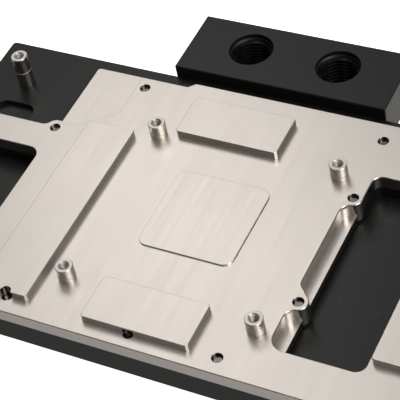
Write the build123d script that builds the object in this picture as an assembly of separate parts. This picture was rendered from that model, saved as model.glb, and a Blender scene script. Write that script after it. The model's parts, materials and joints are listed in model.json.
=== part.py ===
from build123d import *
import os

# Full-cover liquid cooling block for a graphics card, lying on its outer face.
# Millimetres. The origin is the centre of the four processor standoffs, on the plane
# of their tops, where the circuit board seats. +Z points out of the block towards the
# board, +X runs along the block and +Y points at the terminal with the ports.

# Cold plate, nickel-plated copper
gpu_pitch = 58.4                # side of the square of processor mounting holes
standoff_height = 5.05          # plate surface to board
plate_left = -100.4
plate_right = 84.0
plate_front = -46.1
plate_back = 52.4
step_back = 50.4                # back edge left of the diagonal step
step_x = -28.8                  # middle of the diagonal step
notch_x = -61.3                 # left edge of the tab beside the open deck
notch_y = 23.1                  # back edge of the plate's left end
plate_thickness = 6.8
flange_thickness = 4.15         # where the body's lips rise beside the plate
plate_corner = 1.0
edge_break = 0.2

# Raised and lowered areas of the plate
gpu_pad_x = -1.4
gpu_pad_y = 2.9
gpu_pad_size = 29.6
gpu_pad_rise = 0.45
gpu_pad_corner = 3.0
memory_pad_length = 32.9
memory_pad_width = 15.0
memory_pad_rise = 2.46
memory_pad_corner = 0.6         # small flats at 45 degrees
upper_memory_x = -7.2
upper_memory_y = 37.5
lower_memory_x = -1.4
lower_memory_y = -34.4
platform_left = -51.5
platform_right = -35.8
platform_front = -40.9
platform_back = 26.7
platform_rise = 2.42
power_pad_left = 62.2
power_pad_right = 75.2
power_pad_front = -29.9
power_pad_back = 28.6
tab_step_x = -45.5              # edge of the slightly lower tab
tab_step_y = 25.2
tab_slant_x = 11.0              # slanted stretch between its two edges
tab_slant_y = 8.9
tab_step_drop = 0.2

# Windows through the plate, over pockets in the body
left_window_left = -89.6
left_window_right = -62.1
left_window_front = -30.4
left_window_back = 13.1
left_window_corner = 3.6
right_window_left = 38.9
right_window_right = 61.2
right_window_front = -33.5
right_window_back = 32.4
right_window_corner = 3.0
pocket_depth = 1.1              # below the deck

# Lowered ledge along the left side of the right window, between two screw bosses
ledge_left = 34.25
ledge_edge = 37.8               # where its floor drops into the pocket
ledge_drop = 4.4
ledge_front_corner = 4.4
ledge_edge_corner = 1.0
ledge_slant_corner = 2.5        # at the 45 degree wall behind the front boss
boss_radius = 2.85
boss_blend = 3.0                # between a boss and the ledge's straight wall
screw_column_x = 36.15
front_boss_y = -16.9
back_boss_y = 22.5

# Plate screws, M4 with low heads, sunk in the outer face. Each is drawn at the core of its
# thread, in a hole of the tapping drill's size that comes out at the plate's surface.
tab_boss_place = (-62.1, 22.6)      # its round boss stands out of the plate's outline
platform_edge_place = (-42.5, -40.8)    # its drill comes out at the platform's edge
memory_edge_place = (-3.2, -41.6)   # its drill ends inside the lower memory pad
plate_screw_places = [
    (-42.6, 46.2), tab_boss_place, (screw_column_x, 45.8), (screw_column_x, back_boss_y),
    (screw_column_x, front_boss_y), (23.2, -41.0), platform_edge_place, memory_edge_place,
]
memory_edge_rise = 1.9
tab_boss_radius = 3.3
tab_boss_blend = 3.0
screw_core = 3.2
tapping_drill = 3.3
screw_shaft_hole = 4.3          # in the body
screw_head_diameter = 7.0
screw_head_height = 2.8
screw_head_clearance = 0.15
screw_recess = 3.2              # outer face to the head's outer end
screw_socket = 2.5
screw_socket_depth = 1.5
screw_tip_depth = 1.5           # screw end below the plate surface

# Standoffs
standoff_diameter = 5.25
standoff_bore = 3.0
standoff_bore_depth = 4.5
board_standoff_x = -86.0
board_standoff_y = 43.65

# Microchannels under the processor
fin_field_x = 26.0
fin_field_y = 27.0
fin_pitch = 1.3
fin_gap = 0.65
fin_depth = 3.0
jet_plate_x = 26.0
jet_plate_y = 15.0
jet_plate_thickness = 1.0
jet_slot_x = 22.0
jet_slot_y = 1.6

# Body, black acetal
body_back = 59.9
body_thickness = 9.4            # deck to outer face
body_corner = 1.2
body_bevel = 4.0                # along the free edges of the outer face
lip_width = 3.0
lip_clearance = 0.15
slot_pocket_left = -90.8
slot_pocket_right = -77.2
slot_pocket_front = 24.6
slot_pocket_back = 34.8
slot_pocket_corner = 3.6
slot_pocket_depth = 1.8

# Coolant channels and seals
channel_depth = 5.2
channel_width = 8.0
passage_width = 8.0
passage_height = 4.4
seal_left = -38.4
seal_right = 31.4
seal_front = -36.4
seal_back = 41.4
seal_corner = 6.0
seal_width = 2.0
seal_depth = 1.4
seal_clearance = 0.05
side_channel_wall = 1.4
memory_channel_front = -32.0
memory_channel_depth = 2.6

# Terminal, black acetal, with two G1/4 ports
terminal_left = -39.5
terminal_right = 31.0
terminal_depth = 24.7
terminal_rise = 4.55            # above the deck
terminal_edge = 0.3
port_spacing = 29.4
port_y = 13.6                   # port axis behind the joint face
port_diameter = 13.157
port_mouth_diameter = 14.2
port_mouth_depth = 1.4
port_cone_depth = 0.52
port_depth = 11.95              # from the terminal's top
terminal_screw_spacing = 62.4
terminal_screw_diameter = 4.0
terminal_screw_clearance = 0.15
terminal_screw_head_diameter = 7.0
terminal_screw_head_height = 4.0
terminal_screw_sink = 4.4       # depth of the heads' counterbores
terminal_screw_thread = 9.0     # length inside the body
terminal_screw_thread_clearance = 0.05
terminal_screw_socket = 3.0
terminal_screw_socket_depth = 2.0
face_seal_margin = 0.5          # seal groove round each passage
face_seal_width = 1.5
face_seal_depth = 1.2

# Levels and places that follow
plate_top = -standoff_height
flange_z = plate_top - flange_thickness
deck_z = plate_top - plate_thickness
pocket_z = deck_z - pocket_depth
outer_z = deck_z - body_thickness
ledge_z = plate_top - ledge_drop
screw_low_z = outer_z + screw_recess
screw_seat_z = screw_low_z + screw_head_height
terminal_top = deck_z + terminal_rise
terminal_x = (terminal_left + terminal_right) / 2
passage_z = deck_z - body_thickness / 2
port_x = [terminal_x - port_spacing / 2, terminal_x + port_spacing / 2]
terminal_screw_x = [terminal_x - terminal_screw_spacing / 2, terminal_x + terminal_screw_spacing / 2]
gpu_standoff_places = [(x, y) for y in (gpu_pitch / 2, -gpu_pitch / 2) for x in (-gpu_pitch / 2, gpu_pitch / 2)]
overshoot = 1.0


def block(x0, x1, y0, y1, z0, z1):
    """A box between six planes."""
    box = Box(x1 - x0, y1 - y0, z1 - z0)
    return Pos((x0 + x1) / 2, (y0 + y1) / 2, (z0 + z1) / 2) * box


def cropped_block(x0, x1, y0, y1, z0, z1, crop):
    """A box with its upright edges cut off at 45 degrees."""
    return chamfer(block(x0, x1, y0, y1, z0, z1).edges().filter_by(Axis.Z), crop)


def rounded_block(x0, x1, y0, y1, z0, z1, radius):
    """A box with rounded upright edges."""
    face = Pos((x0 + x1) / 2, (y0 + y1) / 2, z0) * RectangleRounded(x1 - x0, y1 - y0, radius)
    return extrude(face, amount=z1 - z0)


def post(x, y, z0, z1, diameter):
    """An upright cylinder between two levels."""
    return Pos(x, y, (z0 + z1) / 2) * Cylinder(diameter / 2, z1 - z0)


def level_post(x, y0, y1, diameter):
    """A cylinder along Y at the height of the coolant passages."""
    return Pos(x, (y0 + y1) / 2, passage_z) * Rot(90, 0, 0) * Cylinder(diameter / 2, y1 - y0)


def taper(x, y, z0, z1, diameter0, diameter1):
    """An upright cone frustum, from one diameter below to another above."""
    return Pos(x, y, (z0 + z1) / 2) * Cone(diameter0 / 2, diameter1 / 2, z1 - z0)


def hexagon(x, y, z0, z1, across_flats):
    """A hexagonal prism for a socket."""
    face = Pos(x, y, z0) * RegularPolygon(across_flats / 2, 6, major_radius=False)
    return extrude(face, amount=z1 - z0)


def left_window(z0, z1):
    """The left window, run between two levels."""
    return rounded_block(left_window_left, left_window_right, left_window_front, left_window_back, z0, z1,
                         left_window_corner)


def ledge_side(z0, z1, reach):
    """The stretch beside the ledge, where the plate keeps its full thickness."""
    return block(ledge_left - reach, right_window_left + reach, right_window_front - reach,
                 back_boss_y, z0, z1)


def lip_space(grow, z0, z1):
    """The lips of the body, or with some growth the rebate that takes them."""
    reach = lip_width + grow
    front = block(plate_left - overshoot, plate_right + overshoot, plate_front - overshoot,
                  plate_front + reach, z0, z1)
    left = block(left_window_left - reach, left_window_right + reach, left_window_front - reach,
                 left_window_back + reach, z0, z1)
    right = block(right_window_left - reach, right_window_right + reach, right_window_front - reach,
                  right_window_back + reach, z0, z1)
    right -= ledge_side(z0 - overshoot, z1 + overshoot, lip_width - grow)
    return front + left + right


def plate_outline():
    """The plan of the cold plate, with the round boss beside the open deck."""
    step = (plate_back - step_back) / 2
    corners = [
        (plate_left, plate_front), (plate_right, plate_front), (plate_right, plate_back),
        (step_x + step, plate_back), (step_x - step, step_back), (notch_x, step_back),
        (notch_x, notch_y), (plate_left, notch_y),
    ]
    plan = make_face(Polyline(corners, close=True))
    boss_x, boss_y = tab_boss_place
    plan += Pos(boss_x, boss_y) * Circle(tab_boss_radius)
    rise = notch_y - boss_y
    run = (tab_boss_radius ** 2 - rise ** 2) ** 0.5
    meeting = plan.vertices().sort_by_distance((boss_x - run, notch_y, 0))[0]
    plan = fillet(meeting, tab_boss_blend)
    outer = plan.vertices().sort_by_distance((notch_x, step_back, 0))[0]
    return fillet(outer, plate_corner)


def boss_circles():
    """Plan of the two screw bosses beside the ledge."""
    front = Pos(screw_column_x, front_boss_y) * Circle(boss_radius)
    back = Pos(screw_column_x, back_boss_y) * Circle(boss_radius)
    return front + back


def right_window_plan():
    """Plan of the right window without its ledge."""
    middle_x = (right_window_left + right_window_right) / 2
    middle_y = (right_window_front + right_window_back) / 2
    size_x = right_window_right - right_window_left
    size_y = right_window_back - right_window_front
    return Pos(middle_x, middle_y) * RectangleRounded(size_x, size_y, right_window_corner)


def nearest(plan, x, y):
    """The corner of a plan that lies nearest to a point."""
    return plan.vertices().sort_by_distance((x, y, 0))[0]


def right_surface_plan():
    """Plan of the right window at the plate's surface, with the ledge beside it."""
    inside = right_window_left + right_window_corner
    slant = boss_radius * 0.5 ** 0.5
    slant_x = screw_column_x + slant
    slant_y = front_boss_y + slant
    slant_end_y = slant_y + slant_x - ledge_left
    back_part = make_face(Polyline([
        (ledge_left, back_boss_y), (inside, back_boss_y), (inside, front_boss_y),
        (screw_column_x, front_boss_y), (slant_x, slant_y), (ledge_left, slant_end_y),
    ], close=True))
    front_part = make_face(Polyline([
        (ledge_left, front_boss_y), (inside, front_boss_y), (inside, right_window_front),
        (ledge_left, right_window_front),
    ], close=True))
    plan = right_window_plan() + back_part + front_part - boss_circles()
    drop = (boss_radius ** 2 - (screw_column_x - ledge_left) ** 2) ** 0.5
    plan = fillet(nearest(plan, ledge_left, back_boss_y - drop), boss_blend)
    plan = fillet(nearest(plan, ledge_left, front_boss_y - drop), boss_blend)
    plan = fillet(nearest(plan, ledge_left, slant_end_y), ledge_slant_corner)
    return fillet(nearest(plan, ledge_left, right_window_front), ledge_front_corner)


def right_pocket_plan():
    """Plan of the right window below the ledge, and of the pocket in the body."""
    inside = right_window_left + right_window_corner
    side = make_face(Polyline([
        (ledge_edge, back_boss_y), (inside, back_boss_y), (inside, right_window_front),
        (ledge_edge, right_window_front),
    ], close=True))
    plan = right_window_plan() + side - boss_circles()
    return fillet(nearest(plan, ledge_edge, right_window_front), ledge_edge_corner)


def run_up(plan, z0, z1):
    """A plan run up between two levels."""
    return extrude(Pos(0, 0, z0) * plan, amount=z1 - z0)


def tab_step():
    """The slightly lower corner tab at the back left."""
    points = [
        (notch_x - overshoot, step_back + overshoot), (notch_x - overshoot, tab_step_y),
        (tab_step_x - tab_slant_x, tab_step_y), (tab_step_x, tab_step_y + tab_slant_y),
        (tab_step_x, step_back + overshoot),
    ]
    return run_up(make_face(Polyline(points, close=True)), plate_top - tab_step_drop, plate_top + overshoot)


def pad(x0, x1, y0, y1, rise):
    """A raised pad with small flats at its corners and broken top edges."""
    body = cropped_block(x0, x1, y0, y1, plate_top - overshoot, plate_top + rise, memory_pad_corner)
    return chamfer(body.edges().group_by(Axis.Z)[-1], edge_break / 2)


def memory_pad(x, y):
    half_length = memory_pad_length / 2
    half_width = memory_pad_width / 2
    return pad(x - half_length, x + half_length, y - half_width, y + half_width, memory_pad_rise)


def plate_pads():
    """Every raised contact area."""
    half = gpu_pad_size / 2
    pads = rounded_block(gpu_pad_x - half, gpu_pad_x + half, gpu_pad_y - half, gpu_pad_y + half,
                         plate_top - overshoot, plate_top + gpu_pad_rise, gpu_pad_corner)
    pads += memory_pad(upper_memory_x, upper_memory_y)
    pads += memory_pad(lower_memory_x, lower_memory_y)
    pads += pad(platform_left, platform_right, platform_front, platform_back, platform_rise)
    pads += pad(power_pad_left, power_pad_right, power_pad_front, power_pad_back, memory_pad_rise)
    return pads


def fin_slots():
    """The gaps between the cooling fins, open to the underside."""
    count = int(fin_field_x / fin_pitch)
    y0 = gpu_pad_y - fin_field_y / 2
    slots = []
    for i in range(count):
        x = gpu_pad_x + (i - (count - 1) / 2) * fin_pitch
        slots.append(block(x - fin_gap / 2, x + fin_gap / 2, y0, y0 + fin_field_y,
                           deck_z - overshoot, deck_z + fin_depth))
    return slots


def plate_screw_holes():
    """Tapped holes, drilled through from the underside."""
    holes = []
    for place in plate_screw_places:
        rise = memory_edge_rise if place == memory_edge_place else platform_rise + overshoot
        holes.append(post(*place, deck_z - overshoot, plate_top + rise, tapping_drill))
    return holes


def make_cold_plate():
    """The nickel-plated copper plate that touches the processor and the memory."""
    plate = run_up(plate_outline(), deck_z, plate_top)
    plate -= left_window(deck_z - overshoot, plate_top + overshoot)
    plate -= run_up(right_surface_plan(), ledge_z, plate_top + overshoot)
    plate -= run_up(right_pocket_plan(), deck_z - overshoot, ledge_z)
    plate = chamfer(plate.edges().group_by(Axis.Z)[-1], edge_break)
    plate -= lip_space(lip_clearance, deck_z - overshoot, flange_z)
    plate -= tab_step()
    plate += plate_pads()
    plate -= plate_screw_holes()
    plate -= fin_slots()
    return plate


def make_standoff(x, y, seat_z):
    """A board standoff with a tapped bore, its top level with the others."""
    return post(x, y, seat_z, 0, standoff_diameter) - post(x, y, -standoff_bore_depth, overshoot, standoff_bore)


def make_plate_screw(x, y):
    """An M4 screw with a low head and a hexagon socket."""
    screw = post(x, y, screw_low_z, screw_seat_z, screw_head_diameter)
    screw += post(x, y, screw_seat_z, plate_top - screw_tip_depth, screw_core)
    return screw - hexagon(x, y, screw_low_z - overshoot, screw_low_z + screw_socket_depth, screw_socket)


def body_screw_holes():
    """Shaft holes with counterbores in the outer face."""
    sink_diameter = screw_head_diameter + 2 * screw_head_clearance
    holes = []
    for x, y in plate_screw_places:
        holes.append(post(x, y, outer_z - overshoot, screw_seat_z, sink_diameter))
        holes.append(post(x, y, outer_z - overshoot, flange_z + overshoot, screw_shaft_hole))
    return holes


def seal_loop(grow, z0, z1):
    """The area inside the main seal's middle line, grown by some distance, with cropped corners."""
    return cropped_block(seal_left - grow, seal_right + grow, seal_front - grow, seal_back + grow, z0, z1,
                         seal_corner + grow * (2 - 2 ** 0.5))


def seal_ring(grow, z0, z1):
    """The main seal's loop round the coolant chamber."""
    half = seal_width / 2 + grow
    return seal_loop(half, z0, z1) - seal_loop(-half, z0 - overshoot, z1 + overshoot)


def make_main_seal():
    return seal_ring(-seal_clearance, deck_z - seal_depth, deck_z)


def passage(x, margin, y0, y1):
    """A coolant passage along Y, or its outline some margin wider, with cropped corners."""
    half_width = passage_width / 2 + margin
    half_height = passage_height / 2 + margin
    solid = block(x - half_width, x + half_width, y0, y1, passage_z - half_height, passage_z + half_height)
    return chamfer(solid.edges().filter_by(Axis.Y), half_height / 2)


def face_seal_ring(x, grow, y0, y1):
    """The seal round one passage, in the joint face between body and terminal."""
    outside = passage(x, face_seal_margin + face_seal_width + grow, y0, y1)
    return outside - passage(x, face_seal_margin - grow, y0 - overshoot, y1 + overshoot)


def make_terminal_seal(x):
    return face_seal_ring(x, -seal_clearance, body_back, body_back + face_seal_depth)


def channels():
    """Coolant channels in the deck: one in, under the jet plate, and one round it and out."""
    z0 = deck_z - channel_depth
    z1 = deck_z + overshoot
    half = channel_width / 2
    jet_z = deck_z - jet_plate_thickness
    field_left = gpu_pad_x - jet_plate_x / 2
    field_right = gpu_pad_x + jet_plate_x / 2
    jet_front = gpu_pad_y - jet_plate_y / 2
    jet_back = gpu_pad_y + jet_plate_y / 2
    field_front = gpu_pad_y - fin_field_y / 2
    field_back = gpu_pad_y + fin_field_y / 2
    chamber_back = seal_back - seal_width - side_channel_wall
    slot_half = jet_slot_x / 2
    inlet = [
        block(port_x[0] - half, port_x[0] + half, gpu_pad_y - half, chamber_back, z0, z1),
        block(port_x[0] - half, gpu_pad_x + slot_half, gpu_pad_y - half, gpu_pad_y + half, z0, jet_z),
        block(field_left, field_right, jet_front, jet_back, jet_z, z1),
    ]
    side_left = field_right + side_channel_wall
    side_right = side_left + channel_width
    end_left = field_left + side_channel_wall
    outlet = [
        block(end_left, side_right, jet_back + side_channel_wall, field_back, z0, z1),
        block(end_left, side_right, field_front, jet_front - side_channel_wall, z0, z1),
        block(side_left, side_right, field_front, field_back, z0, z1),
        block(port_x[1] - half, port_x[1] + half, field_back - half, chamber_back, z0, z1),
        block(end_left, side_right, memory_channel_front, field_front + half,
              deck_z - memory_channel_depth, z1),
    ]
    passages = [passage(x, 0, chamber_back - half, body_back + overshoot) for x in port_x]
    return inlet + outlet + passages


def make_body():
    """The black acetal body: deck, lips, pockets, channels and outer face."""
    body = block(plate_left, plate_right, plate_front, body_back, outer_z, deck_z)
    low = body.faces().sort_by(Axis.Z)[0].edges()
    body = chamfer([edge for edge in low if edge.center().Y < body_back - overshoot / 2], body_bevel)
    upright = body.edges().filter_by(Axis.Z).group_by(Axis.Y)[-1]
    body = fillet(upright, body_corner)
    rim = lip_space(0, deck_z - overshoot, flange_z)
    rim = rim & block(plate_left, plate_right, plate_front, body_back, deck_z - overshoot, flange_z)
    body += rim
    body -= left_window(pocket_z, flange_z + overshoot)
    body -= run_up(right_pocket_plan(), pocket_z, flange_z + overshoot)
    body -= rounded_block(slot_pocket_left, slot_pocket_right, slot_pocket_front, slot_pocket_back,
                          deck_z - slot_pocket_depth, deck_z + overshoot, slot_pocket_corner)
    body -= channels()
    body -= seal_ring(0, deck_z - seal_depth, deck_z + overshoot)
    body -= body_screw_holes()
    for x in terminal_screw_x:
        body -= level_post(x, body_back - terminal_screw_thread - overshoot, body_back + overshoot,
                           terminal_screw_diameter + 2 * terminal_screw_thread_clearance)
    return body


def make_jet_plate():
    """The thin steel plate that spreads the inlet flow over the fins."""
    half_x = jet_plate_x / 2
    half_y = jet_plate_y / 2
    plate = block(gpu_pad_x - half_x, gpu_pad_x + half_x, gpu_pad_y - half_y, gpu_pad_y + half_y,
                  deck_z - jet_plate_thickness, deck_z)
    return plate - block(gpu_pad_x - jet_slot_x / 2, gpu_pad_x + jet_slot_x / 2, gpu_pad_y - jet_slot_y / 2,
                         gpu_pad_y + jet_slot_y / 2, outer_z, plate_top)


def make_terminal():
    """The black acetal terminal with two threaded ports, bolted to the body's back face."""
    y1 = body_back + terminal_depth
    solid = block(terminal_left, terminal_right, body_back, y1, outer_z, terminal_top)
    solid = chamfer(solid.edges(), terminal_edge)
    cone_top = terminal_top - port_mouth_depth
    for x in port_x:
        y = body_back + port_y
        solid -= post(x, y, terminal_top - port_depth, terminal_top + overshoot, port_diameter)
        solid -= post(x, y, cone_top, terminal_top + overshoot, port_mouth_diameter)
        solid -= taper(x, y, cone_top - port_cone_depth, cone_top, port_diameter, port_mouth_diameter)
        solid -= passage(x, 0, body_back - overshoot, y)
        solid -= face_seal_ring(x, 0, body_back - overshoot, body_back + face_seal_depth)
    for x in terminal_screw_x:
        solid -= level_post(x, body_back - overshoot, y1 + overshoot,
                            terminal_screw_diameter + 2 * terminal_screw_clearance)
        solid -= level_post(x, y1 - terminal_screw_sink, y1 + overshoot,
                            terminal_screw_head_diameter + 2 * terminal_screw_clearance)
    return solid


def make_terminal_screw(x):
    """An M4 cap screw through the terminal into the body."""
    seat = body_back + terminal_depth - terminal_screw_sink
    end = seat + terminal_screw_head_height
    screw = level_post(x, body_back - terminal_screw_thread, seat, terminal_screw_diameter)
    screw += level_post(x, seat, end, terminal_screw_head_diameter)
    plane = Plane(origin=(x, end - terminal_screw_socket_depth, passage_z), x_dir=(1, 0, 0), z_dir=(0, 1, 0))
    outline = RegularPolygon(terminal_screw_socket / 2, 6, major_radius=False)
    return screw - extrude(plane * outline, amount=terminal_screw_socket_depth + overshoot)


def save(name, shape):
    export_step(shape, f"parts/{name}.step")


os.makedirs("parts", exist_ok=True)
save("cold_plate", make_cold_plate())
save("body", make_body())
save("terminal", make_terminal())
save("jet_plate", make_jet_plate())
save("main_seal", make_main_seal())
for number, place in enumerate(port_x, 1):
    save(f"terminal_seal_{number}", make_terminal_seal(place))
for number, place in enumerate(terminal_screw_x, 1):
    save(f"terminal_screw_{number}", make_terminal_screw(place))
for number, (place_x, place_y) in enumerate(gpu_standoff_places, 1):
    save(f"gpu_standoff_{number}", make_standoff(place_x, place_y, plate_top))
save("board_standoff_left", make_standoff(board_standoff_x, board_standoff_y, deck_z))
for number, (place_x, place_y) in enumerate(plate_screw_places, 1):
    save(f"plate_screw_{number}", make_plate_screw(place_x, place_y))
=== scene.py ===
import json
import math

import bmesh
import bpy
from mathutils import Matrix, Vector


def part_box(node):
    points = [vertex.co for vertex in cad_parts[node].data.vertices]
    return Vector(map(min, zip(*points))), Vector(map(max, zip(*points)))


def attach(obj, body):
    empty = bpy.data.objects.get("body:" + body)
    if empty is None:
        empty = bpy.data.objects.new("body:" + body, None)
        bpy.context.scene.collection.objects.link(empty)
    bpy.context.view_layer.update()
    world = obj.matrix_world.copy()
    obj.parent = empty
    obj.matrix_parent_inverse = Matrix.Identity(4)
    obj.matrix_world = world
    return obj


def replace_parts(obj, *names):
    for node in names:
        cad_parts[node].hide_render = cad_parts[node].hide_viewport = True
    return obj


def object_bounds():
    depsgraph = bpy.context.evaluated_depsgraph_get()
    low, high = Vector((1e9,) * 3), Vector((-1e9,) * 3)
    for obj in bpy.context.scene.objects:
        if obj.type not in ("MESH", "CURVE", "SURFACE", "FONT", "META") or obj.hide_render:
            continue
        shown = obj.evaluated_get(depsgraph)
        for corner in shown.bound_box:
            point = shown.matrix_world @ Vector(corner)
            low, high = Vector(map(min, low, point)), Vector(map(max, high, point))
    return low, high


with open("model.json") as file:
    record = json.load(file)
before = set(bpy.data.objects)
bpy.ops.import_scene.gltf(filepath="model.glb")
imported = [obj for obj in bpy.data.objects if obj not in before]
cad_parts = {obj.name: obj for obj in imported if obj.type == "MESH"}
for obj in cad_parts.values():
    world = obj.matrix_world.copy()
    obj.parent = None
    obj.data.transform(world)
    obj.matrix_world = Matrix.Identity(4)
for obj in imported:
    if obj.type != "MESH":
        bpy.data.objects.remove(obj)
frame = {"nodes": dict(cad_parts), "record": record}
cad_low, cad_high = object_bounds()
MM = 0.001

# Camera, in the part's frame. The lens and its sensor are in millimetres, the range in metres
CAMERA_PLACE = Vector((178.3, -252.7, 330.15)) * MM
CAMERA_FORWARD = Vector((-0.4159, 0.5519, -0.7228)).normalized()
CAMERA_RIGHT = Vector((0.8820, 0.4384, -0.1727)).normalized()
CAMERA_LENS = 145.09
CAMERA_SENSOR = 36
CAMERA_SHIFT = (0.0895, 0.0161)
CAMERA_RANGE = (0.01, 20)

# Ports: a smooth mouth and cone above a G1/4 thread
PORT_PITCH = 1.337 * MM
PORT_DEPTH = 0.856 * MM
PORT_RADIUS = 6.5785 * MM
PORT_SPACING = 29.4 * MM
PORT_SETBACK = 13.6 * MM         # port axis from the terminal's front face
PORT_FLOOR = 2.0 * MM            # above the terminal's underside
PORT_SMOOTH_TOP = 1.92 * MM

# Standoffs, turned
STANDOFF_PITCH = 0.5 * MM
STANDOFF_DEPTH = 0.27 * MM
STANDOFF_BORE = 1.5 * MM
STANDOFF_BORE_DEPTH = 4.5 * MM
STANDOFF_LEAD_IN = 0.12 * MM
STANDOFF_EDGE = 0.16 * MM
GROOVE_HEIGHTS = {"gpu": 1.7 * MM, "board": 6.2 * MM}
GROOVE_WIDTH = 0.36 * MM
GROOVE_DEPTH = 0.2 * MM

# Ends of the plate screws, seen in their holes
TIP_HEIGHT = 0.45 * MM
TIP_RADIUS = 1.6 * MM
TIP_NARROWING = 0.4 * MM

# Angles, in degrees, past which an edge stays sharp
THREAD_CREASE = 35
TURNED_CREASE = 30

# All finishes. Grain, streaks, clouds and dust are in cells per metre
NOISE_ROUGHNESS = 0.6
NOISE_BAND = (0.3, 0.7)          # where a noise runs from its low to its high value
FINE_BUMP = 0.02 * MM
TURNED_BUMP = 0.05 * MM
LEVEL_BAND = (0.6, 0.8)          # upright part of a normal: a wall below it, a level face above
EDGE_BAND = (1.0, 0.9)           # rounded normal times the flat one: on a face, and at an edge

# Nickel, with its grain along Y
NICKEL_GRAIN = (2600, 420, 2600)
NICKEL_STREAKS = (700, 25, 700)
NICKEL_CLOUDS = (45, 45, 45)
CLOUD_BAND = (0.35, 0.65)
NICKEL_DULL = (0.795, 0.745, 0.695)
NICKEL_BRIGHT = (0.815, 0.765, 0.715)
# near white, painted along the nickel's edges as a highlight
NICKEL_EDGE_PAINTED_HIGHLIGHT = (1.0, 0.98, 0.95)
NICKEL_EDGE_RADIUS = 0.15 * MM
FACE_ROUGHNESS = (0.43, 0.46)    # milled faces that look up or down
WALL_ROUGHNESS = 0.16            # the smoother milled walls

# Acetal
ACETAL_GRAIN = (3000, 3000, 3000)
ACETAL_BLACK = (0.007, 0.0066, 0.0062)
ACETAL_ROUGHNESS = (0.42, 0.5)
CUT_ROUGHNESS = (0.18, 0.24)     # threads cut in it
ACETAL_IOR = 1.5
DUST_CELLS = 400                 # one speck in the middle of each
DUST_SIZE = (0.03, 0.05)         # where a speck is full and where it ends, in cells from its middle
DUST_GREY = (0.25, 0.25, 0.24)

# Plated brass of the standoffs, with its rings round Z
BRASS_TURNING = (60, 60, 9000)
BRASS_PLATING = (0.84, 0.80, 0.76)
END_ROUGHNESS = (0.48, 0.54)
SIDE_ROUGHNESS = 0.2

# Screws, jet plate and seals
FINE_GRAIN = (2500, 2500, 2500)
STEEL = (0.60, 0.59, 0.575)
# much darker steel for the screw ends, which sit down in their holes
DARK_END_STEEL = (0.13, 0.125, 0.12)
STEEL_ROUGHNESS = (0.2, 0.3)
RUBBER_DARK = (0.012, 0.012, 0.012)
RUBBER_PALE = (0.022, 0.022, 0.022)
RUBBER_ROUGHNESS = 0.7

# Light. A span is in parts of a direction along an axis: 1 along it, 0 across it
WARM_WHITE = (1.0, 0.985, 0.965)
UP = (0, 0, 1)
HORIZON = 0.02                   # half the blend between table and room
TABLE_SIDE = (0.6, 0.8, 0)       # the table is bright this way, and dim the other
TABLE_SPAN = (-0.7, 0.7)
TABLE_LIGHT = (0.34, 0.95)
ROOM_SPAN = (0.5, 0.0)           # from high up to the horizon
ROOM_LIGHT = (0.03, 0.2)
NEAR_SPAN = (0, 0.2)             # keeps a soft box off the far side
SOFT_BOXES = [
    {"heading": -17, "height": 32, "half_width": 0.26, "half_height": 0.5, "softness": 0.06, "strength": 3.0},
    {"heading": 135, "height": 74, "half_width": 0.3, "half_height": 0.3, "softness": 0.1, "strength": 1.3},
]
LAMP_PLACE = Vector((-0.318, 0.416, 0.572))
LAMP_RADIUS = 0.15
LAMP_RADIANCE = 2.5

# Floor, a hair below the flat back so that the two never share a plane
FLOOR_GAP = 0.05 * MM
FLOOR_SIZE = 6
FLOOR_COLOUR = (0.9, 0.9, 0.9)
FLOOR_ROUGHNESS = 0.8
FLOOR_GLOW = 1.0


class Graph:
    """A short way to build a node tree."""

    def __init__(self, tree):
        self.tree = tree

    def add(self, kind, **settings):
        """A node, each of whose settings is one of its sockets or properties."""
        node = self.tree.nodes.new(kind)
        for key, value in settings.items():
            if key in node.inputs:
                node.inputs[key].default_value = value
            else:
                setattr(node, key, value)
        return node

    def feed(self, socket, value):
        """Links a socket to another, or gives it a plain value. Colours are three numbers."""
        if isinstance(value, bpy.types.NodeSocket):
            self.tree.links.new(value, socket)
        elif socket.type == "RGBA":
            socket.default_value = (*value, 1)
        else:
            socket.default_value = value

    def math(self, operation, first, second=0):
        node = self.add("ShaderNodeMath", operation=operation)
        self.feed(node.inputs[0], first)
        self.feed(node.inputs[1], second)
        return node.outputs["Value"]

    def dot(self, first, second):
        node = self.add("ShaderNodeVectorMath", operation="DOT_PRODUCT")
        self.feed(node.inputs[0], first)
        self.feed(node.inputs[1], second)
        return node.outputs["Value"]

    def ramp(self, source, low, high, start=0, end=1, curve="LINEAR"):
        """Source from low to high runs from start to end."""
        node = self.add("ShaderNodeMapRange", interpolation_type=curve)
        node.inputs["From Min"].default_value = low
        node.inputs["From Max"].default_value = high
        node.inputs["To Min"].default_value = start
        node.inputs["To Max"].default_value = end
        self.feed(node.inputs["Value"], source)
        return node.outputs["Result"]


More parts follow.
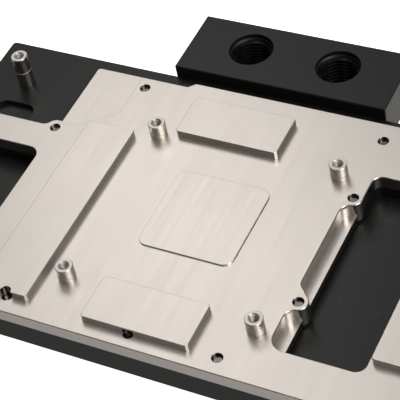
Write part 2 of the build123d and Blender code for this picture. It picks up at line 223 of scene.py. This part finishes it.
class Finish(Graph):
    """A material, in the piece's own coordinates."""

    def __init__(self, name):
        self.material = bpy.data.materials.new(name)
        self.material.use_nodes = True
        super().__init__(self.material.node_tree)
        self.shader = self.tree.nodes["Principled BSDF"]

    def give(self, name, value):
        """Gives one of the shader's sockets a plain value or another socket's."""
        self.feed(self.shader.inputs[name], value)

    def place(self, kind):
        """Where a point lies, or which way it looks."""
        return self.add("ShaderNodeTexCoord").outputs[kind]

    def noise(self, cells, detail):
        """Noise with its own number of cells along each axis."""
        mapping = self.add("ShaderNodeMapping", Scale=cells)
        noise = self.add("ShaderNodeTexNoise", Scale=1, Detail=detail, Roughness=NOISE_ROUGHNESS)
        self.feed(mapping.inputs["Vector"], self.place("Object"))
        self.feed(noise.inputs["Vector"], mapping.outputs["Vector"])
        return noise.outputs["Fac"]

    def mix(self, factor, first, second):
        """A colour between two."""
        node = self.add("ShaderNodeMix", data_type="RGBA")
        self.feed(node.inputs["Factor"], factor)
        self.feed(node.inputs["A"], first)
        self.feed(node.inputs["B"], second)
        return node.outputs["Result"]

    def bump(self, height, distance, strength, normal=None):
        node = self.add("ShaderNodeBump", Distance=distance, Strength=strength)
        self.feed(node.inputs["Height"], height)
        if normal is not None:
            self.feed(node.inputs["Normal"], normal)
        return node.outputs["Normal"]

    def by_face(self, wall, level):
        """One value on walls, and another on faces that look up or down."""
        split = self.add("ShaderNodeSeparateXYZ")
        self.feed(split.inputs["Vector"], self.place("Normal"))
        lying = self.ramp(self.math("ABSOLUTE", split.outputs["Z"]), *LEVEL_BAND)
        return self.math("ADD", self.math("MULTIPLY", lying, self.math("SUBTRACT", level, wall)), wall)

    def edges(self, radius):
        """Rounded normals, and how near each point is to an edge."""
        rounded = self.add("ShaderNodeBevel", samples=6, Radius=radius).outputs["Normal"]
        flat = self.add("ShaderNodeNewGeometry").outputs["True Normal"]
        return rounded, self.ramp(self.dot(rounded, flat), *EDGE_BAND)


def nickel():
    """Nickel plating over finely machined copper, with a painted highlight that whitens its edges."""
    n = Finish("nickel")
    rounded, edge_highlight_mask = n.edges(NICKEL_EDGE_RADIUS)
    clouds = n.ramp(n.noise(NICKEL_CLOUDS, detail=3), *CLOUD_BAND)
    face = n.ramp(n.noise(NICKEL_STREAKS, detail=3), *NOISE_BAND, *FACE_ROUGHNESS)
    # The base colour turns almost white near edges: a painted highlight.
    n.give("Base Color", n.mix(edge_highlight_mask, n.mix(clouds, NICKEL_DULL, NICKEL_BRIGHT), NICKEL_EDGE_PAINTED_HIGHLIGHT))
    n.give("Metallic", 1)
    n.give("Roughness", n.by_face(WALL_ROUGHNESS, face))
    n.give("Normal", n.bump(n.noise(NICKEL_GRAIN, detail=5), FINE_BUMP, 0.1, rounded))
    return n.material


def acetal(name, roughness):
    """Milled black acetal, satin, with a few specks of dust."""
    n = Finish(name)
    specks = n.add("ShaderNodeTexVoronoi", Scale=DUST_CELLS)
    n.feed(specks.inputs["Vector"], n.place("Object"))
    dust = n.ramp(specks.outputs["Distance"], *DUST_SIZE, 1, 0)
    grain = n.noise(ACETAL_GRAIN, detail=3)
    n.give("Base Color", n.mix(dust, ACETAL_BLACK, DUST_GREY))
    n.give("IOR", ACETAL_IOR)
    n.give("Roughness", n.ramp(grain, *NOISE_BAND, *roughness))
    n.give("Normal", n.bump(grain, FINE_BUMP, 0.1))
    return n.material


def plated_brass():
    """Turned and nickel-plated, with satin ends. The rings spread reflections up and down."""
    n = Finish("plated_brass")
    turning = n.noise(BRASS_TURNING, detail=3)
    n.give("Base Color", BRASS_PLATING)
    n.give("Metallic", 1)
    n.give("Roughness", n.by_face(SIDE_ROUGHNESS, n.ramp(turning, *NOISE_BAND, *END_ROUGHNESS)))
    n.give("Normal", n.bump(turning, TURNED_BUMP, 0.7))
    return n.material


def stainless(name, colour):
    n = Finish(name)
    n.give("Base Color", colour)
    n.give("Metallic", 1)
    n.give("Roughness", n.ramp(n.noise(FINE_GRAIN, detail=2), *NOISE_BAND, *STEEL_ROUGHNESS))
    return n.material


def rubber():
    n = Finish("rubber")
    n.give("Base Color", n.mix(n.ramp(n.noise(FINE_GRAIN, detail=2), *NOISE_BAND), RUBBER_DARK, RUBBER_PALE))
    n.give("Roughness", RUBBER_ROUGHNESS)
    return n.material


FINISHES = {
    "nickel": nickel(),
    "black_acetal": acetal("black_acetal", ACETAL_ROUGHNESS),
    "plated_brass": plated_brass(),
    "stainless_steel": stainless("stainless_steel", STEEL),
    "rubber": rubber(),
}
CUT_THREAD = acetal("cut_acetal", CUT_ROUGHNESS)
# the screw ends get the darker steel
SCREW_END = stainless("dark_screw_end", DARK_END_STEEL)


def dress_cad_nodes():
    """Every CAD node gets the finish of its own material slot."""
    slots = {part["node"]: part["material_slot"] for part in frame["record"]["subparts"]}
    for name, node in frame["nodes"].items():
        node.data.materials.clear()
        node.data.materials.append(FINISHES[slots[name]])


def finish_piece(mesh, name, slot, crease):
    """The built mesh as a piece of the scene, smooth but for its creases."""
    bmesh.ops.recalc_face_normals(mesh, faces=mesh.faces)
    data = bpy.data.meshes.new(name)
    mesh.to_mesh(data)
    mesh.free()
    piece = bpy.data.objects.new(name, data)
    bpy.context.scene.collection.objects.link(piece)
    data.materials.append(FINISHES[slot])
    for face in data.polygons:
        face.use_smooth = True
    data.set_sharp_from_angle(angle=math.radians(crease))
    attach(piece, "root")
    return piece


def thread(name, x, y, z0, z1, radius, depth, pitch, slot, steps):
    """An internal thread: one ridge that winds up a bore, its foot sunk a hair into the bore's wall."""
    flat = pitch / 8
    foot = radius + depth / 20
    profile = [(foot, -pitch / 2 + flat / 2), (radius - depth, -flat / 2), (radius - depth, flat / 2),
               (foot, pitch / 2 - flat / 2)]
    turns = (z1 - z0 - pitch) / pitch
    count = int(turns * steps)
    mesh = bmesh.new()
    rings = []
    for i in range(count + 1):
        angle = 2 * math.pi * i / steps
        level = z0 + pitch / 2 + pitch * i / steps
        rings.append([mesh.verts.new((x + r * math.cos(angle), y + r * math.sin(angle), level + dz))
                      for r, dz in profile])
    for first, second in zip(rings, rings[1:]):
        for k in range(len(profile)):
            j = (k + 1) % len(profile)
            mesh.faces.new((first[k], first[j], second[j], second[k]))
    mesh.faces.new(rings[0])
    mesh.faces.new(reversed(rings[-1]))
    return finish_piece(mesh, name, slot, THREAD_CREASE)


def turned(name, x, y, profile, slot, steps=72):
    """A piece turned about an upright axis, from (radius, height) points that start and end on the axis."""
    mesh = bmesh.new()
    rings = []
    for r, z in profile:
        if r == 0:
            rings.append([mesh.verts.new((x, y, z))])
        else:
            rings.append([mesh.verts.new((x + r * math.cos(2 * math.pi * i / steps),
                                          y + r * math.sin(2 * math.pi * i / steps), z))
                          for i in range(steps)])
    for first, second in zip(rings, rings[1:]):
        for i in range(steps):
            j = (i + 1) % steps
            corners = [first[i % len(first)], first[j % len(first)], second[j % len(second)],
                       second[i % len(second)]]
            mesh.faces.new(list(dict.fromkeys(corners)))
    return finish_piece(mesh, name, slot, TURNED_CREASE)


def make_port_threads():
    low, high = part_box("terminal")
    middle = (low.x + high.x) / 2
    for number, side in enumerate((-1, 1), 1):
        cut = thread(f"port_thread_{number}", middle + side * PORT_SPACING / 2, low.y + PORT_SETBACK,
                     low.z + PORT_FLOOR, high.z - PORT_SMOOTH_TOP, PORT_RADIUS, PORT_DEPTH, PORT_PITCH,
                     "black_acetal", steps=72)
        cut.data.materials[0] = CUT_THREAD


def make_standoffs():
    """Each standoff again, with the fine turned detail that its solid leaves out."""
    for name in sorted(frame["nodes"]):
        if "standoff" not in name:
            continue
        low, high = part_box(name)
        x = (low.x + high.x) / 2
        y = (low.y + high.y) / 2
        radius = (high.x - low.x) / 2
        groove = low.z + GROOVE_HEIGHTS[name.split("_")[0]]
        bottom = high.z - STANDOFF_BORE_DEPTH
        profile = [
            (0, bottom), (STANDOFF_BORE, bottom), (STANDOFF_BORE, high.z - STANDOFF_LEAD_IN),
            (STANDOFF_BORE + STANDOFF_LEAD_IN, high.z), (radius - STANDOFF_EDGE, high.z),
            (radius, high.z - STANDOFF_EDGE), (radius, groove + GROOVE_WIDTH / 2),
            (radius - GROOVE_DEPTH, groove + GROOVE_WIDTH / 5),
            (radius - GROOVE_DEPTH, groove - GROOVE_WIDTH / 5), (radius, groove - GROOVE_WIDTH / 2),
            (radius, low.z + STANDOFF_EDGE), (radius - STANDOFF_EDGE, low.z), (0, low.z),
        ]
        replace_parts(turned(f"{name}_turned", x, y, profile, "plated_brass"), name)
        thread(f"{name}_thread", x, y, bottom, high.z - STANDOFF_LEAD_IN, STANDOFF_BORE,
               STANDOFF_DEPTH, STANDOFF_PITCH, "plated_brass", steps=24)


def make_screw_tips():
    """The narrowed ends of the plate screws."""
    for name in sorted(frame["nodes"]):
        if not name.startswith("plate_screw"):
            continue
        low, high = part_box(name)
        profile = [(0, high.z), (TIP_RADIUS, high.z), (TIP_RADIUS - TIP_NARROWING, high.z + TIP_HEIGHT),
                   (0, high.z + TIP_HEIGHT)]
        tip = turned(f"{name}_tip", (low.x + high.x) / 2, (low.y + high.y) / 2, profile,
                     "stainless_steel", steps=48)
        tip.data.materials[0] = SCREW_END


def make_floor():
    """A plain pale floor, bright as a light table. The studio's own table stands for it in reflections."""
    bpy.ops.mesh.primitive_plane_add(size=FLOOR_SIZE, location=(0, 0, cad_low.z - FLOOR_GAP))
    floor = bpy.context.object
    floor.name = "floor"
    n = Finish("floor")
    n.give("Base Color", FLOOR_COLOUR)
    n.give("Roughness", FLOOR_ROUGHNESS)
    n.give("Emission Color", (1, 1, 1))
    n.give("Emission Strength", FLOOR_GLOW)
    floor.data.materials.append(n.material)
    floor.visible_glossy = False
    floor.visible_diffuse = False
    floor.visible_shadow = False


class Studio(Graph):
    """The light that comes from each direction: soft boxes in a dim room over a pale table."""

    def __init__(self):
        world = bpy.data.worlds.new("studio")
        bpy.context.scene.world = world
        world.use_nodes = True
        super().__init__(world.node_tree)
        self.background = self.tree.nodes["Background"]
        self.direction = self.add("ShaderNodeTexCoord").outputs["Generated"]

    def along(self, axis):
        """How far each direction points along an axis."""
        return self.dot(self.direction, axis)

    def step(self, source, low, high, start=0, end=1):
        """A ramp with soft ends."""
        return self.ramp(source, low, high, start, end, "SMOOTHSTEP")

    def box(self, heading, height, half_width, half_height, softness, strength):
        """A soft box seen in a direction given in degrees; its half sizes are sines of angles."""
        turn = math.radians(heading)
        lift = math.radians(height)
        middle = Vector((math.cos(lift) * math.cos(turn), math.cos(lift) * math.sin(turn), math.sin(lift)))
        across = Vector((-math.sin(turn), math.cos(turn), 0))
        upward = middle.cross(across)
        inside = self.step(self.along(middle), *NEAR_SPAN)
        for axis, half in ((across, half_width), (upward, half_height)):
            offset = self.math("ABSOLUTE", self.along(axis))
            inside = self.math("MULTIPLY", inside, self.step(offset, half + softness, half - softness))
        return self.math("MULTIPLY", inside, strength)

    def light(self, parts, colour):
        """Lights the scene with the sum of the parts."""
        total = parts[0]
        for part in parts[1:]:
            total = self.math("ADD", total, part)
        self.feed(self.background.inputs["Color"], colour)
        self.feed(self.background.inputs["Strength"], total)


def make_lamp():
    """A round soft box that faces the origin."""
    data = bpy.data.lights.new("soft_box", "AREA")
    data.shape = "DISK"
    data.size = 2 * LAMP_RADIUS
    data.energy = math.pi * math.pi * LAMP_RADIUS ** 2 * LAMP_RADIANCE
    data.color = WARM_WHITE
    lamp = bpy.data.objects.new("soft_box", data)
    bpy.context.scene.collection.objects.link(lamp)
    lamp.location = LAMP_PLACE
    lamp.rotation_mode = "QUATERNION"
    lamp.rotation_quaternion = LAMP_PLACE.to_track_quat("Z", "Y")


def make_lights():
    studio = Studio()
    up = studio.along(UP)
    table = studio.step(studio.along(TABLE_SIDE), *TABLE_SPAN, *TABLE_LIGHT)
    room = studio.step(up, *ROOM_SPAN, *ROOM_LIGHT)
    parts = [
        studio.math("MULTIPLY", table, studio.step(up, HORIZON, -HORIZON)),
        studio.math("MULTIPLY", room, studio.step(up, -HORIZON, HORIZON)),
        *(studio.box(**box) for box in SOFT_BOXES),
    ]
    studio.light(parts, WARM_WHITE)
    make_lamp()


def make_camera():
    data = bpy.data.cameras.new("camera")
    camera = bpy.data.objects.new("camera", data)
    bpy.context.scene.collection.objects.link(camera)
    data.sensor_width = CAMERA_SENSOR
    data.lens = CAMERA_LENS
    data.shift_x, data.shift_y = CAMERA_SHIFT
    data.clip_start, data.clip_end = CAMERA_RANGE
    up = CAMERA_RIGHT.cross(CAMERA_FORWARD)
    right = CAMERA_FORWARD.cross(up)
    turn = Matrix((right, up, -CAMERA_FORWARD)).transposed()
    camera.matrix_world = Matrix.Translation(CAMERA_PLACE) @ turn.to_4x4()
    bpy.context.scene.camera = camera


dress_cad_nodes()
make_port_threads()
make_standoffs()
make_screw_tips()
make_floor()
make_lights()
make_camera()
bpy.context.scene.view_settings.view_transform = "Standard"
bpy.context.scene.cycles.use_denoising = True
